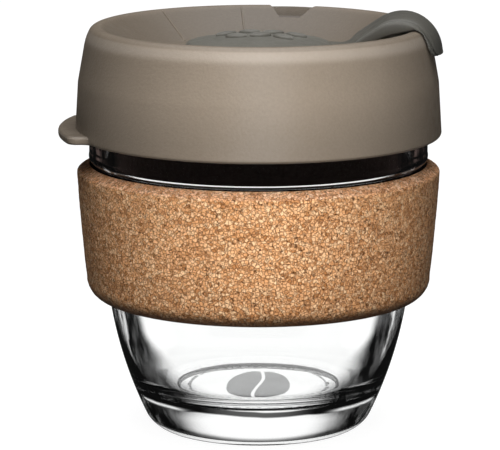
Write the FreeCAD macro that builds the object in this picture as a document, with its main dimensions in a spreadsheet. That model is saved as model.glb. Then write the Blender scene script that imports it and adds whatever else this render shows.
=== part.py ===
"""Reusable glass coffee cup with a cork band, a press-on lid and a swivelling plug.

The frame's origin is the centre of the glass's foot ring, +Z is up and the plug's arm points
along +X. Lengths are in millimetres. Every solid of revolution turns about the Z axis.
"""
import FreeCAD
import Part
import math
import os

import Sketcher

DIMENSIONS = {
    # glass cup, outside
    "foot_recess": 2.0, "recess_radius": 20.8, "foot_edge_round": 1.0,
    "foot_inner_radius": 21.8, "foot_outer_radius": 24.2,
    "heel_radius": 27.6, "heel_height": 3.3, "heel_round": 6.8,
    "belly_radius": 36.2, "belly_height": 31.5, "belly_round": 100.0,
    "seat_radius": 40.25, "seat_height": 64.9, "bead_height": 67.3, "bead_round": 2.3,
    "neck_radius": 40.9, "mouth_height": 86.0, "lip_round": 1.45,
    # glass cup, inside
    "floor_height": 9.8, "floor_radius": 20.0, "floor_round": 8.2,
    "corner_radius": 27.4, "corner_height": 14.55,
    "inner_belly_radius": 32.6, "inner_belly_round": 64.0,
    "inner_neck_radius": 37.2, "inner_neck_height": 64.0, "mouth_inner_radius": 38.0,
    # cork band
    "cork_gap": 0.12, "cork_bottom": 32.0, "cork_foot_radius": 37.8,
    "cork_low_radius": 41.75, "cork_low_height": 37.0, "cork_low_round": 4.9,
    "cork_side_round": 500.0, "cork_high_radius": 43.9, "cork_high_height": 62.4,
    "cork_high_round": 1.0, "cork_bevel_outer": 43.2, "cork_bevel_low": 63.4,
    "cork_bevel_inner": 41.0, "cork_top": 64.7, "cork_mouth_height": 64.3,
    # lid, outside
    "skirt_bottom": 71.5, "skirt_radius": 44.2, "skirt_round": 0.9,
    "crease_radius": 43.45, "crease_height": 84.6,
    "shoulder_radius": 41.9, "shoulder_height": 93.2, "shoulder_round": 11.6,
    "brow_radius": 40.7, "brow_height": 96.75, "brow_round": 2.17,
    "crest_radius": 38.85, "crest_height": 97.9, "crest_round": 2.5,
    "well_top_radius": 37.37, "well_top_height": 97.42,
    "well_low_radius": 28.98, "well_low_height": 91.29, "well_round": 1.5,
    "well_floor_radius": 28.1, "well_floor_height": 91.0,
    # lid, inside
    "socket_radius": 4.08, "ceiling_height": 89.2, "ceiling_radius": 29.5,
    "ring_inner_radius": 36.0, "ring_top_height": 93.95, "ring_bottom": 81.0,
    "ring_lead_radius": 37.15, "ring_radius": 37.55, "ring_bead_radius": 37.86,
    "ring_bead_height": 82.6, "ring_bead_half": 1.2, "channel_height": 94.3, "channel_outer_radius": 40.3,
    "skirt_inner_radius": 41.3, "skirt_inner_height": 91.8,
    "grip_radius": 41.02, "grip_height": 75.5, "grip_half": 1.5, "skirt_lead": 42.3,
    "stop_rib_width": 1.2, "stop_rib_gap": 0.2, "stop_rib_count": 12,
    # lid, thumb tab
    "tab_angle": 184.5, "tab_reach": 48.3, "tab_thickness": 2.0, "tab_root_width": 38.4,
    "tab_root_radius": 43.9, "tab_inside_radius": 43.0, "tab_corner_round": 2.6,
    "tab_side_round": 3.2, "tab_edge_round": 0.7,
    # lid, parking notch, stop ribs, sip hole and vent
    "notch_angle": 82.0, "notch_inner_radius": 34.6, "notch_outer_radius": 41.4,
    "notch_inner_width": 4.75, "notch_outer_width": 16.9,
    "notch_inner_floor": 95.73, "notch_outer_floor": 98.08, "notch_top": 103.0,
    "rib_angle": 100.6, "second_rib_angle": 133.5, "rib_top_width": 0.5, "rib_low_width": 1.0,
    "rib_rise": 0.45, "rib_inner_radius": 29.6, "rib_outer_radius": 38.0,
    "rib_inner_root": 90.2, "rib_outer_root": 96.4,
    "sip_radius": 32.8, "sip_depth": 4.8, "sip_length": 11.0,
    "vent_angle": 180.0, "vent_radius": 24.5, "vent_bore_radius": 0.8,
    # plug hub
    "hub_radius": 17.8, "hub_top": 95.6, "hub_brow_radius": 16.8, "hub_brow_height": 93.8,
    "hub_dome_round": 79.3, "hub_edge_height": 92.8, "hub_edge_round": 1.05,
    "hub_bottom": 91.3, "hub_low_round": 0.6,
    "stem_radius": 4.0, "snap_radius": 5.0, "snap_top": 89.0, "snap_height": 88.4,
    "stem_tip_radius": 3.3, "stem_tip": 86.9, "hub_flat": 16.9,
    # plug hinge web
    "web_end": 19.15, "web_half_width": 9.4, "web_bottom": 92.0, "web_top": 93.1,
    # plug arm, as a section turned about the Z axis
    "arm_half_width": 10.0, "arm_half_angle": 36.0,
    "arm_cut_radius": 17.2, "arm_root": 19.2, "arm_root_top": 93.35, "arm_root_bottom": 91.4,
    "arm_rise_radius": 22.6, "arm_rise_height": 94.6, "arm_rise_round": 7.5,
    "arm_arch_radius": 29.9, "arm_arch_height": 99.8, "arm_arch_round": 8.69,
    "arm_brow_radius": 38.4, "arm_brow_height": 100.7, "arm_brow_round": 9.72,
    "arm_cheek_radius": 44.2, "arm_cheek_height": 92.9,
    "arm_tip_radius": 44.42, "arm_tip": 91.3, "arm_tip_inner": 42.55,
    "arm_hook_radius": 42.22, "arm_hook_height": 93.25, "arm_hook_round": 11.9,
    "arm_bend_radius": 40.98, "arm_bend_height": 96.88, "arm_bend_round": 2.47,
    "arm_saddle_radius": 38.85, "arm_saddle_height": 98.15,
    "arm_belly_radius": 34.6, "arm_belly_height": 97.2,
    "arm_under_radius": 30.4, "arm_under_height": 95.7, "arm_under_round": 16.9,
    "arm_heel_radius": 22.7, "arm_heel_height": 91.7, "arm_heel_round": 3.4,
    "arm_flat_radius": 21.3,
    # plug stopper, a pad that faces the well's slope
    "pad_inner_radius": 29.2, "pad_inner_low": 91.6, "pad_inner_top": 97.0,
    "pad_outer_radius": 36.8, "pad_outer_low": 97.15, "pad_outer_top": 98.6,
    "pad_length": 13.4, "pad_depth": 6.6,
}

document = FreeCAD.newDocument("cup")
sheet = document.addObject("Spreadsheet::Sheet", "Dims")
for row, (alias, number) in enumerate(DIMENSIONS.items(), start=1):
    sheet.set(f"A{row}", alias.replace("_", " "))
    sheet.set(f"B{row}", str(number))
    sheet.setAlias(f"B{row}", alias)
document.recompute()


def amount(text):
    """The value of a sum of named dimensions, such as 'crest_height - skirt_bottom'."""
    total, sign = 0.0, 1.0
    for word in text.split():
        if word in ("+", "-"):
            sign = 1.0 if word == "+" else -1.0
        else:
            total += sign * (DIMENSIONS[word] if word in DIMENSIONS else float(word))
    return total


def bound(text):
    """The same sum, as an expression that reads the sheet."""
    return " ".join("Dims." + word if word in DIMENSIONS else word for word in text.split())


def new_body(name):
    body = document.addObject("PartDesign::Body", name)
    body.Label = name
    return body


def new_sketch(body, name, role):
    """A sketch on one of the body's own origin planes."""
    sketch = body.newObject("Sketcher::SketchObject", name)
    plane = next(item for item in body.Origin.OriginFeatures if item.Role == role)
    sketch.AttachmentSupport = [(plane, "")]
    sketch.MapMode = "FlatFace"
    return sketch


def arc_between(start, end, radius):
    """The short arc that turns left from start to end."""
    chord = end - start
    left = FreeCAD.Vector(-chord.y, chord.x, 0).normalize()
    centre = (start + end) * 0.5 + left * math.sqrt(radius ** 2 - (chord.Length / 2) ** 2)
    return Part.Arc(start, centre - left * radius, end)


def draw(sketch, corners):
    """A closed outline. A corner is (x, y) or (x, y, radius) for an arc to the next corner.

    Each is a sum of named dimensions, and becomes a driving constraint bound to the sheet.
    An arc turns left, or right if its radius is written with a minus.
    """
    points = [FreeCAD.Vector(amount(c[0]), amount(c[1]), 0) for c in corners]
    ends = []
    for i, corner in enumerate(corners):
        start, end = points[i], points[(i + 1) % len(points)]
        if len(corner) == 2:
            sketch.addGeometry(Part.LineSegment(start, end), False)
            ends.append((1, 2))
            continue
        radius = amount(corner[2])
        if radius > 0:
            sketch.addGeometry(arc_between(start, end, radius), False)
            ends.append((1, 2))
        else:
            sketch.addGeometry(arc_between(end, start, -radius), False)
            ends.append((2, 1))
    for i, corner in enumerate(corners):
        after = (i + 1) % len(corners)
        sketch.addConstraint(Sketcher.Constraint("Coincident", i, ends[i][1], after, ends[after][0]))
        for kind, axis, text in (("DistanceX", -2, corner[0]), ("DistanceY", -1, corner[1])):
            if abs(amount(text)) < 1e-9:
                sketch.addConstraint(Sketcher.Constraint("PointOnObject", i, ends[i][0], axis))
                continue
            rule = Sketcher.Constraint(kind, -1, 1, i, ends[i][0], amount(text))
            sketch.setExpression(f"Constraints[{sketch.addConstraint(rule)}]", bound(text))
        if len(corner) == 3:
            radius = corner[2].removeprefix("- ")
            rule = Sketcher.Constraint("Radius", i, amount(radius))
            sketch.setExpression(f"Constraints[{sketch.addConstraint(rule)}]", bound(radius))


def turned(name, corners, degrees=360.0):
    """A body made by turning an outline in the XZ plane about the Z axis."""
    body = new_body(name)
    sketch = new_sketch(body, name + "_outline", "XZ_Plane")
    draw(sketch, corners)
    turn = body.newObject("PartDesign::Revolution", name + "_turn")
    turn.Profile = sketch
    turn.ReferenceAxis = (sketch, ["V_Axis"])
    turn.Angle = degrees
    turn.Midplane = degrees < 360.0
    sketch.Visibility = False
    document.recompute()
    return body


def placed(item, angle, bottom="0"):
    """Stands an item at a height and turns it about the Z axis, both read from the sheet."""
    item.setExpression("Placement.Base.z", bound(bottom))
    item.setExpression("Placement.Rotation.Angle", f"({bound(angle)}) * 1 deg")
    return item


def joined(kind, name, *items):
    """A Part boolean: MultiFuse or MultiCommon of all items, or Cut of two."""
    result = document.addObject("Part::" + kind, name)
    if kind == "Cut":
        result.Base, result.Tool = items
    else:
        result.Shapes = list(items)
    result.Label = name
    document.recompute()
    return result


def wedge(name, inner, outer, inner_width, outer_width, inner_floor, outer_floor, top):
    """A block along +Y whose width and floor change from its inner end to its outer end."""
    block = document.addObject("Part::Wedge", name)
    sizes = {
        "Ymin": bound(inner), "Ymax": bound(outer),
        "Xmin": f"-({bound(inner_width)}) / 2", "Xmax": f"({bound(inner_width)}) / 2",
        "X2min": f"-({bound(outer_width)}) / 2", "X2max": f"({bound(outer_width)}) / 2",
        "Zmin": bound(inner_floor), "Zmax": bound(top),
        "Z2min": bound(outer_floor), "Z2max": bound(top),
    }
    for prop, text in sizes.items():
        block.setExpression(prop, text)
    return block


def glass_cup():
    """Tempered glass with a heavy foot, a conical seat for the cork and a straight neck."""
    return turned("glass_cup", [
        ("0", "foot_recess"),
        ("recess_radius", "foot_recess"),
        ("recess_radius", "foot_edge_round", "foot_edge_round"),
        ("foot_inner_radius", "0"),
        ("foot_outer_radius", "0", "heel_round"),
        ("heel_radius", "heel_height", "belly_round"),
        ("belly_radius", "belly_height"),
        ("seat_radius", "seat_height", "bead_round"),
        ("neck_radius", "bead_height"),
        ("neck_radius", "mouth_height - lip_round", "lip_round"),
        ("neck_radius - lip_round", "mouth_height", "lip_round"),
        ("mouth_inner_radius", "mouth_height - lip_round"),
        ("inner_neck_radius", "inner_neck_height"),
        ("inner_belly_radius", "belly_height", "- inner_belly_round"),
        ("corner_radius", "corner_height", "- floor_round"),
        ("floor_radius", "floor_height"),
        ("0", "floor_height"),
    ])


def cork_band():
    """A one-piece sleeve of pressed cork, thinner and bevelled at its top edge."""
    return turned("cork_band", [
        ("belly_radius + cork_gap", "cork_bottom"),
        ("cork_foot_radius", "cork_bottom", "cork_low_round"),
        ("cork_low_radius", "cork_low_height", "cork_side_round"),
        ("cork_high_radius", "cork_high_height", "cork_high_round"),
        ("cork_bevel_outer", "cork_bevel_low"),
        ("cork_bevel_inner", "cork_top"),
        ("seat_radius", "cork_mouth_height"),
    ])


def lid_shell():
    """Skirt, rounded crest, sloping well with a flat floor, and the ring inside the mouth."""
    return turned("lid_shell", [
        ("skirt_lead", "skirt_bottom"),
        ("skirt_radius - skirt_round", "skirt_bottom", "skirt_round"),
        ("skirt_radius", "skirt_bottom + skirt_round"),
        ("crease_radius", "crease_height"),
        ("shoulder_radius", "shoulder_height", "shoulder_round"),
        ("brow_radius", "brow_height", "brow_round"),
        ("crest_radius", "crest_height", "crest_round"),
        ("well_top_radius", "well_top_height"),
        ("well_low_radius", "well_low_height", "- well_round"),
        ("well_floor_radius", "well_floor_height"),
        ("socket_radius", "well_floor_height"),
        ("socket_radius", "ceiling_height"),
        ("ceiling_radius", "ceiling_height"),
        ("ring_inner_radius", "ring_top_height"),
        ("ring_inner_radius", "ring_bottom"),
        ("ring_lead_radius", "ring_bottom"),
        ("ring_radius", "ring_bead_height - ring_bead_half"),
        ("ring_bead_radius", "ring_bead_height"),
        ("ring_radius", "ring_bead_height + ring_bead_half"),
        ("ring_radius", "channel_height"),
        ("channel_outer_radius", "channel_height"),
        ("skirt_inner_radius", "skirt_inner_height"),
        ("skirt_inner_radius", "grip_height + grip_half"),
        ("grip_radius", "grip_height"),
        ("skirt_inner_radius", "grip_height - grip_half"),
    ])


def polar(radius, angle, centre=FreeCAD.Vector()):
    return centre + FreeCAD.Vector(radius * math.cos(angle), radius * math.sin(angle), 0)


def thumb_tab():
    """A flat lip at the foot of the skirt, with rounded corners and concave sides.

    It is drawn about the +X axis from tangent arcs, and closed inside the skirt's wall.
    """
    reach, root = DIMENSIONS["tab_reach"], DIMENSIONS["tab_root_radius"]
    corner, side = DIMENSIONS["tab_corner_round"], DIMENSIONS["tab_side_round"]
    inside = DIMENSIONS["tab_inside_radius"]
    root_angle = math.asin(DIMENSIONS["tab_root_width"] / 2 / root)
    far, near = reach - corner, root + side
    between = math.acos((far ** 2 + near ** 2 - (corner + side) ** 2) / (2 * far * near))
    corner_angle = root_angle - between

    body = new_body("thumb_tab")
    sketch = new_sketch(body, "tab_outline", "XY_Plane")

    def mirrored(point):
        return FreeCAD.Vector(point.x, -point.y, 0)

    corner_centre, side_centre = polar(far, corner_angle), polar(near, root_angle)
    lean = math.atan2(side_centre.y - corner_centre.y, side_centre.x - corner_centre.x)
    meet = polar(corner, lean, corner_centre)
    tip = polar(reach, corner_angle)
    foot = polar(root, root_angle)
    corner_middle = polar(corner, (corner_angle + lean) / 2, corner_centre)
    side_middle = polar(side, (lean + root_angle) / 2 + math.pi, side_centre)
    inner = polar(inside, root_angle)
    for curve in (
        Part.Arc(mirrored(tip), polar(reach, 0), tip),
        Part.Arc(tip, corner_middle, meet),
        Part.Arc(foot, side_middle, meet),
        Part.LineSegment(foot, inner),
        Part.Arc(mirrored(inner), polar(inside, 0), inner),
        Part.LineSegment(mirrored(inner), mirrored(foot)),
        Part.Arc(mirrored(meet), mirrored(side_middle), mirrored(foot)),
        Part.Arc(mirrored(meet), mirrored(corner_middle), mirrored(tip)),
    ):
        sketch.addGeometry(curve, False)
    joints = ((0, 2, 1, 1), (1, 2, 2, 2), (2, 1, 3, 1), (3, 2, 4, 2),
              (4, 1, 5, 1), (5, 2, 6, 2), (6, 1, 7, 1), (7, 2, 0, 1))
    for first, first_end, second, second_end in joints:
        sketch.addConstraint(Sketcher.Constraint("Coincident", first, first_end, second, second_end))
    for curve, alias in ((0, "tab_reach"), (1, "tab_corner_round"), (2, "tab_side_round"),
                         (4, "tab_inside_radius"), (6, "tab_side_round"), (7, "tab_corner_round")):
        rule = Sketcher.Constraint("Radius", curve, DIMENSIONS[alias])
        sketch.setExpression(f"Constraints[{sketch.addConstraint(rule)}]", bound(alias))
    pad = body.newObject("PartDesign::Pad", "tab_pad")
    pad.Profile = sketch
    pad.setExpression("Length", bound("tab_thickness"))
    document.recompute()
    rounded = body.newObject("PartDesign::Fillet", "tab_rounding")
    rim = [f"Edge{i + 1}" for i, edge in enumerate(pad.Shape.Edges)
           if edge.Curve.TypeId == "Part::GeomCircle" and abs(edge.Curve.Radius - inside) > 0.1]
    rounded.Base = (pad, rim)
    rounded.setExpression("Radius", bound("tab_edge_round"))
    document.recompute()
    return placed(body, "tab_angle", "skirt_bottom")


def slot(name, length, width, height):
    """A stadium-shaped prism, long along Y, centred on the Z axis."""
    body = new_body(name)
    sketch = new_sketch(body, name + "_outline", "XY_Plane")
    half = width + " / 2"
    reach = "(" + length + " - " + width + ") / 2"
    radius, run = amount(width) / 2, (amount(length) - amount(width)) / 2
    corners = [FreeCAD.Vector(x * radius, y * run, 0) for x, y in ((1, -1), (1, 1), (-1, 1), (-1, -1))]
    far, near = FreeCAD.Vector(0, run + radius, 0), FreeCAD.Vector(0, -run - radius, 0)
    for side in (Part.LineSegment(corners[0], corners[1]), Part.Arc(corners[1], far, corners[2]),
                 Part.LineSegment(corners[2], corners[3]), Part.Arc(corners[3], near, corners[0])):
        sketch.addGeometry(side, False)
    for i in range(4):
        sketch.addConstraint(Sketcher.Constraint("Coincident", i, 2, (i + 1) % 4, 1))
    for kind, edge, number, text in (("DistanceX", 0, radius, half), ("DistanceY", 0, -run, "-" + reach),
                                     ("DistanceX", 2, -radius, "-" + half), ("DistanceY", 2, run, reach)):
        rule = Sketcher.Constraint(kind, -1, 1, edge, 1, number)
        text = text.replace(length, bound(length)).replace(width, bound(width))
        sketch.setExpression(f"Constraints[{sketch.addConstraint(rule)}]", text)
    for edge in (1, 3):
        rule = Sketcher.Constraint("Radius", edge, radius)
        sketch.setExpression(f"Constraints[{sketch.addConstraint(rule)}]", bound(width) + " / 2")
    pad = body.newObject("PartDesign::Pad", name + "_pad")
    pad.Profile = sketch
    pad.setExpression("Length", bound(height))
    document.recompute()
    return body


def lid():
    """The moulded lid: the shell with its tab, ribs, notch, sip hole and vent."""
    ribs = []
    for i, angle in enumerate(("rib_angle - 90", "second_rib_angle - 90")):
        rib = wedge(f"well_rib_{i}", "rib_inner_radius", "rib_outer_radius", "rib_low_width",
                    "rib_top_width", "rib_inner_root", "rib_outer_root",
                    "well_low_height + rib_rise")
        rib.setExpression("Z2max", bound("well_top_height + rib_rise"))
        ribs.append(placed(rib, angle))
    stops = []
    for i in range(int(DIMENSIONS["stop_rib_count"])):
        stop = document.addObject("Part::Box", f"rim_stop_{i}")
        stop.setExpression("Length", bound("skirt_inner_radius - ring_radius"))
        stop.setExpression("Width", bound("stop_rib_width"))
        stop.setExpression("Height", bound("channel_height - mouth_height - stop_rib_gap"))
        turn = 360.0 * (i + 0.5) / DIMENSIONS["stop_rib_count"]
        stop.setExpression("Placement.Base.x", bound("ring_radius") + f" * cos({turn} deg)")
        stop.setExpression("Placement.Base.y", bound("ring_radius") + f" * sin({turn} deg)")
        stop.setExpression("Placement.Base.z", bound("mouth_height + stop_rib_gap"))
        stop.Placement.Rotation = FreeCAD.Rotation(FreeCAD.Vector(0, 0, 1), turn)
        stops.append(stop)
    notch = placed(wedge("parking_notch", "notch_inner_radius", "notch_outer_radius",
                         "notch_inner_width", "notch_outer_width", "notch_inner_floor",
                         "notch_outer_floor", "notch_top"), "notch_angle - 90")
    hole = slot("sip_hole", "sip_length", "sip_depth", "crest_height - ring_bottom")
    hole.setExpression("Placement.Base.x", bound("sip_radius"))
    hole.setExpression("Placement.Base.z", bound("ring_bottom"))
    vent = document.addObject("Part::Cylinder", "vent")
    vent.setExpression("Radius", bound("vent_bore_radius"))
    vent.setExpression("Height", bound("crest_height - ring_bottom"))
    vent.setExpression("Placement.Base.x", "-" + bound("vent_radius"))
    vent.setExpression("Placement.Base.z", bound("ring_bottom"))
    document.recompute()
    solid = joined("MultiFuse", "lid_solid", lid_shell(), thumb_tab(), *ribs, *stops)
    cuts = joined("MultiFuse", "lid_cuts", notch, hole, vent)
    return joined("Cut", "lid", solid, cuts)


def plug_hub():
    """A shallow dome over the well's floor, with a stem that snaps through the floor."""
    dome = turned("hub_solid", [
        ("0", "hub_top"),
        ("0", "stem_tip"),
        ("stem_tip_radius", "stem_tip"),
        ("snap_radius", "snap_height"),
        ("snap_radius", "snap_top"),
        ("stem_radius", "snap_top"),
        ("stem_radius", "hub_bottom"),
        ("hub_radius - hub_low_round", "hub_bottom", "hub_low_round"),
        ("hub_radius", "hub_bottom + hub_low_round"),
        ("hub_radius", "hub_edge_height", "hub_edge_round"),
        ("hub_brow_radius", "hub_brow_height", "hub_dome_round"),
    ])
    flat = document.addObject("Part::Box", "hub_flat_cut")
    flat.setExpression("Length", bound("hub_radius"))
    flat.setExpression("Width", "2 * " + bound("hub_radius"))
    flat.setExpression("Height", bound("hub_top"))
    flat.setExpression("Placement.Base.x", bound("hub_flat"))
    flat.setExpression("Placement.Base.y", "-" + bound("hub_radius"))
    return joined("Cut", "plug_hub", dome, flat)


def plug_web():
    """The thin flexible web between the hub's flat and the arm's root."""
    web = document.addObject("Part::Box", "plug_web")
    web.setExpression("Length", bound("web_end - hub_flat"))
    web.setExpression("Width", "2 * " + bound("web_half_width"))
    web.setExpression("Height", bound("web_top - web_bottom"))
    web.setExpression("Placement.Base.x", bound("hub_flat"))
    web.setExpression("Placement.Base.y", "-" + bound("web_half_width"))
    web.setExpression("Placement.Base.z", bound("web_bottom"))
    return web


def arm_strip():
    """The block that gives the arm its straight sides and straight root."""
    strip = document.addObject("Part::Box", "arm_strip")
    strip.setExpression("Length", bound("tab_reach - arm_root"))
    strip.setExpression("Width", "2 * " + bound("arm_half_width"))
    strip.setExpression("Height", "2 * " + bound("crest_height"))
    strip.setExpression("Placement.Base.x", bound("arm_root"))
    strip.setExpression("Placement.Base.y", "-" + bound("arm_half_width"))
    return strip


def plug_arm():
    """An arched tongue that rises out of the well and hooks over the lid's crest."""
    arch = turned("arm_arch", [
        ("arm_cut_radius", "arm_root_top"),
        ("arm_cut_radius", "arm_root_bottom"),
        ("arm_flat_radius", "arm_root_bottom", "arm_heel_round"),
        ("arm_heel_radius", "arm_heel_height"),
        ("arm_under_radius", "arm_under_height", "- arm_under_round"),
        ("arm_belly_radius", "arm_belly_height"),
        ("arm_saddle_radius", "arm_saddle_height", "- arm_bend_round"),
        ("arm_bend_radius", "arm_bend_height", "- arm_hook_round"),
        ("arm_hook_radius", "arm_hook_height"),
        ("arm_tip_inner", "arm_tip"),
        ("arm_tip_radius", "arm_tip"),
        ("arm_cheek_radius", "arm_cheek_height", "arm_brow_round"),
        ("arm_brow_radius", "arm_brow_height", "arm_arch_round"),
        ("arm_arch_radius", "arm_arch_height"),
        ("arm_rise_radius", "arm_rise_height", "- arm_rise_round"),
        ("arm_root", "arm_root_top"),
    ], 2 * DIMENSIONS["arm_half_angle"])
    return joined("MultiCommon", "plug_arm", arch, arm_strip())


def plug_stopper():
    """A soft pad under the arm. Its lower face lies along the well's slope, over the sip hole."""
    block = turned("pad_ring", [
        ("pad_inner_radius", "pad_inner_low"),
        ("pad_outer_radius", "pad_outer_low"),
        ("pad_outer_radius", "pad_outer_top"),
        ("pad_inner_radius", "pad_inner_top"),
    ], 2 * DIMENSIONS["arm_half_angle"])
    shape = slot("pad_shape", "pad_length", "pad_depth", "crest_height")
    shape.setExpression("Placement.Base.x", bound("sip_radius"))
    return joined("MultiCommon", "plug_stopper", block, shape)


parts = [glass_cup(), cork_band(), lid(), plug_hub(), plug_web(), plug_arm(), plug_stopper()]
document.recompute()

for item in document.Objects:
    if "Invalid" in item.State or "Error" in item.State:
        raise RuntimeError(f"{item.Name} failed: {item.State}")
for item in parts:
    if item.Shape.isNull() or not item.Shape.isValid() or not item.Shape.Solids:
        raise RuntimeError(f"{item.Label} has no valid solid")

os.makedirs("parts", exist_ok=True)
for item in parts:
    item.Shape.exportStep(f"parts/{item.Label}.step")
    print(item.Label, len(item.Shape.Solids), round(item.Shape.Volume, 1), item.Shape.BoundBox)
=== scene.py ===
"""Looks of the reusable glass cup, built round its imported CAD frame.

Shapes are drawn in millimetres and scaled to metres when a mesh is made. Every turned piece
shares the Z axis. The arm of the plug points along +X.
"""
import math

import bpy
import numpy as np
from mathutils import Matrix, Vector

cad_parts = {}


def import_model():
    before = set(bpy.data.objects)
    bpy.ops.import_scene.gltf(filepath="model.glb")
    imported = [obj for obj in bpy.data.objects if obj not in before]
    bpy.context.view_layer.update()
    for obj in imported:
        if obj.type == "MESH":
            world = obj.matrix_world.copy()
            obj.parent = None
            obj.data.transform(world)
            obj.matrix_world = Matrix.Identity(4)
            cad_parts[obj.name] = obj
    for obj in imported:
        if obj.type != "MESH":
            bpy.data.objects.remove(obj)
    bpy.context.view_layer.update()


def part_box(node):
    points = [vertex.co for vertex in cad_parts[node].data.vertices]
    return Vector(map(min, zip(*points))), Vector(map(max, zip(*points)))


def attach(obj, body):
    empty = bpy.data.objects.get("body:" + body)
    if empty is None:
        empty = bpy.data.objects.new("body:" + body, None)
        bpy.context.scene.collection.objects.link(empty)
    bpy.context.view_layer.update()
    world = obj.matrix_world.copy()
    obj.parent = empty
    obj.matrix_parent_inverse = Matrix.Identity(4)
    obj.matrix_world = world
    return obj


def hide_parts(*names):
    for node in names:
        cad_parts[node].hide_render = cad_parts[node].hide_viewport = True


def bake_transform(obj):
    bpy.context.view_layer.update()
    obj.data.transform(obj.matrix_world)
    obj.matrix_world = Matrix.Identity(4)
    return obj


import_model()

MM = 0.001


def lowest(node):
    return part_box(node)[0].z / MM


def highest(node):
    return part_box(node)[1].z / MM


# Heights that the frame gives, in millimetres.
MOUTH = highest("glass_cup")
CORK_BOTTOM, CORK_TOP = lowest("cork_band"), highest("cork_band")
SKIRT = lowest("lid")
HUB_TOP, STEM_TIP = highest("plug_hub"), lowest("plug_hub")
ARM_TIP = lowest("plug_arm")


# ---------------------------------------------------------------- outlines

def arc(start, end, radius, longest):
    """Points from start up to, not including, end. The arc turns left if radius is positive."""
    start, end = np.array(start, float), np.array(end, float)
    chord = end - start
    half = np.linalg.norm(chord) / 2
    hand = math.copysign(1, radius)
    side = np.array([-chord[1], chord[0]]) / (2 * half) * hand
    centre = (start + end) / 2 + side * math.sqrt(max(radius ** 2 - half ** 2, 0))
    sweep = 2 * math.asin(min(half / abs(radius), 1)) * hand
    count = max(3, math.ceil(abs(sweep) / math.radians(5)), math.ceil(abs(sweep * radius) / longest))
    out = start - centre
    turns = np.arange(count) / count * sweep
    return [centre + np.array([math.cos(a) * out[0] - math.sin(a) * out[1],
                               math.sin(a) * out[0] + math.cos(a) * out[1]]) for a in turns]


def soften(points, closed, radius, sharp=12.0):
    """Rounds every corner that turns by more than sharp degrees."""
    count, result = len(points), []
    for i, here in enumerate(points):
        if not closed and i in (0, count - 1):
            result.append(here)
            continue
        before, after = points[i - 1] - here, points[(i + 1) % count] - here
        reach = min(np.linalg.norm(before), np.linalg.norm(after))
        before, after = before / np.linalg.norm(before), after / np.linalg.norm(after)
        turn = math.pi - math.acos(np.clip(before @ after, -1, 1))
        if math.degrees(turn) < sharp:
            result.append(here)
            continue
        cut = min(radius * math.tan(turn / 2), 0.42 * reach)
        first, last = here + before * cut, here + after * cut
        for t in np.linspace(0, 1, 6):
            result.append((1 - t) ** 2 * first + 2 * t * (1 - t) * here + t * t * last)
    return result


def outline(corners, closed=True, radius=0.25, longest=0.8):
    """A smooth outline from corners (r, z) or (r, z, radius of the arc to the next corner)."""
    points = []
    for i, corner in enumerate(corners):
        if len(corner) == 3:
            points += arc(corner[:2], corners[(i + 1) % len(corners)][:2], corner[2], longest)
        else:
            points.append(np.array(corner, float))
    points = soften(points, closed, radius)
    dense = []
    for a, b in zip(points, points[1:] + points[:1] if closed else points[1:]):
        parts = max(1, math.ceil(np.linalg.norm(b - a) / longest))
        dense += [a + (b - a) * k / parts for k in range(parts)]
    if not closed:
        dense.append(points[-1])
    return np.array(dense)


def ramp(x, low, high):
    """0 below low, 1 above high, smooth between."""
    t = np.clip((np.asarray(x, float) - low) / (high - low), 0, 1)
    return t * t * (3 - 2 * t)


# ---------------------------------------------------------------- meshes

def make(name, vertices, faces, material, smooth_angle=40.0):
    """A mesh object in metres, smooth except at edges sharper than smooth_angle."""
    mesh = bpy.data.meshes.new(name)
    mesh.from_pydata((np.asarray(vertices, float) * MM).tolist(), [], faces)
    mesh.validate()
    mesh.materials.append(material)
    mesh.shade_smooth()
    mesh.set_sharp_from_angle(angle=math.radians(smooth_angle))
    piece = bpy.data.objects.new(name, mesh)
    bpy.context.scene.collection.objects.link(piece)
    return piece


def grid_faces(rows, columns, wrap_rows=False):
    """Quads of a grid stored row by row, with every row closed."""
    faces = []
    for i in range(rows if wrap_rows else rows - 1):
        below, above = i * columns, (i + 1) % rows * columns
        for j in range(columns):
            k = (j + 1) % columns
            faces.append((below + j, below + k, above + k, above + j))
    return faces


def fans(rows, columns):
    """Triangles that close the first and last row onto two centre points stored after the grid."""
    low, high, last = rows * columns, rows * columns + 1, (rows - 1) * columns
    faces = []
    for j in range(columns):
        k = (j + 1) % columns
        faces.append((low, k, j))
        faces.append((high, last + j, last + k))
    return faces


def lathe(name, points, segments, material, smooth_angle=40.0, shape=None):
    """Turns an outline about Z. One whose ends lie on the axis is closed by two fans."""
    on_axis = points[0][0] < 1e-6 and points[-1][0] < 1e-6
    ring = points[1:-1] if on_axis else points
    angles = np.arange(segments) * 2 * math.pi / segments
    r, z = np.repeat(ring[:, 0], segments), np.repeat(ring[:, 1], segments)
    a = np.tile(angles, len(ring))
    vertices = np.column_stack([r * np.cos(a), r * np.sin(a), z])
    if shape is not None:
        vertices = shape(ring, segments)
    faces = grid_faces(len(ring), segments, wrap_rows=not on_axis)
    if on_axis:
        vertices = np.vstack([vertices, [0, 0, points[0][1]], [0, 0, points[-1][1]]])
        faces += fans(len(ring), segments)
    return make(name, vertices, faces, material, smooth_angle)


def rings(name, rows, material, smooth_angle=40.0):
    """A closed solid from rows of equal length, capped at both ends."""
    rows = [np.asarray(row, float) for row in rows]
    ends = [rows[0].mean(0), rows[-1].mean(0)]
    columns = len(rows[0])
    faces = grid_faces(len(rows), columns) + fans(len(rows), columns)
    return make(name, np.vstack(rows + [ends]), faces, material, smooth_angle)


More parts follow.
